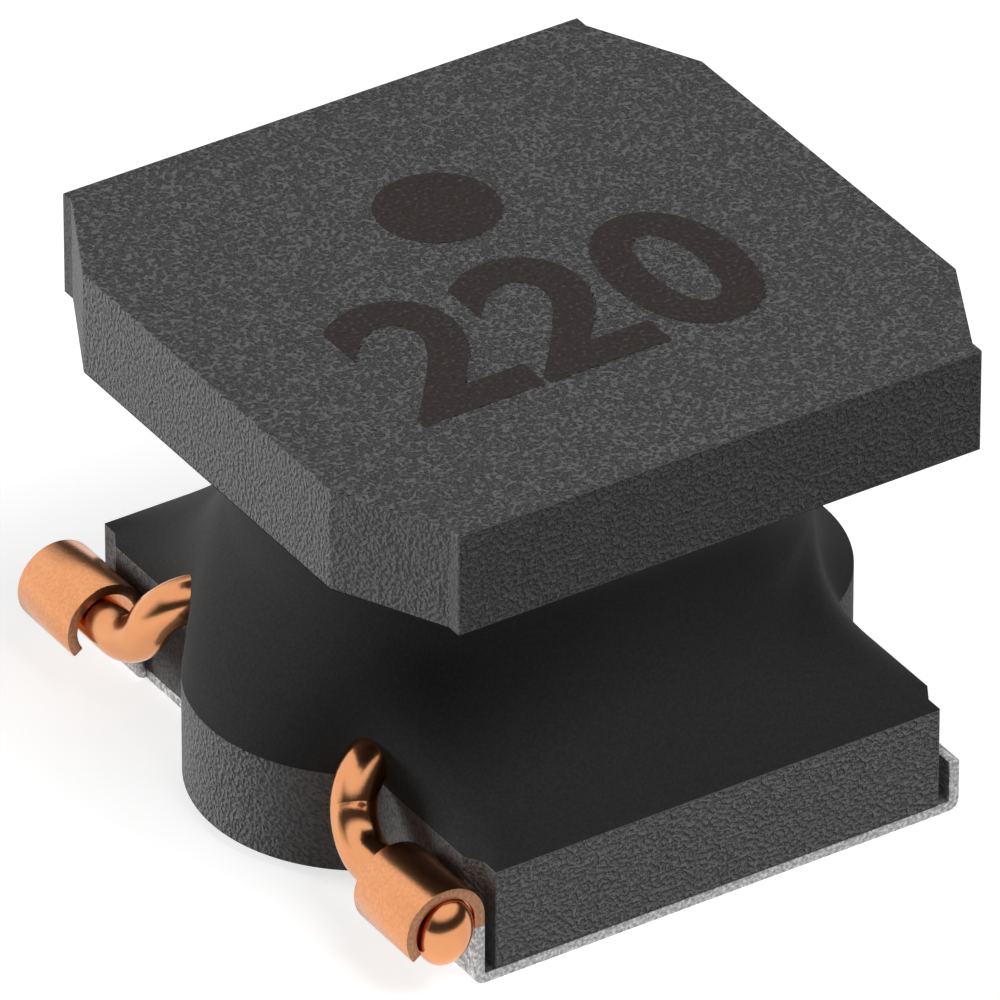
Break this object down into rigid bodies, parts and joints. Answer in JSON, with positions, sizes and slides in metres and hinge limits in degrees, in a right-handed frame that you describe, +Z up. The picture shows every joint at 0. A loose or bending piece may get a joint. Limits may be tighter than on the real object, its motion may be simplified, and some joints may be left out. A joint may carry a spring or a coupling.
{
  "type": "shielded smd inductor",
  "caption": "Square surface-mount inductor: a ferrite drum wound with copper wire, filled with magnetic resin, on folded terminals whose hooks hold the wire's ends.",
  "frame": {"origin": "middle of the footprint, on the plane of the solder pads", "axes": "+X along the end faces, from the wire hooks to the short tabs; +Y from the front end to the rear end; +Z up from the circuit board"},
  "size_m": [0.006, 0.0064, 0.0044],
  "materials": {
    "ferrite": "matte, fine pebbled grain",
    "copper_wire": "polished",
    "resin": "satin",
    "tinned_copper": "matte tin plate"
  },
  "bodies": {
    "root": {"drum_core": "ferrite", "winding": "copper_wire", "magnetic_resin": "resin", "front_terminal": "tinned_copper", "rear_terminal": "tinned_copper"}
  },
  "joints": []
}
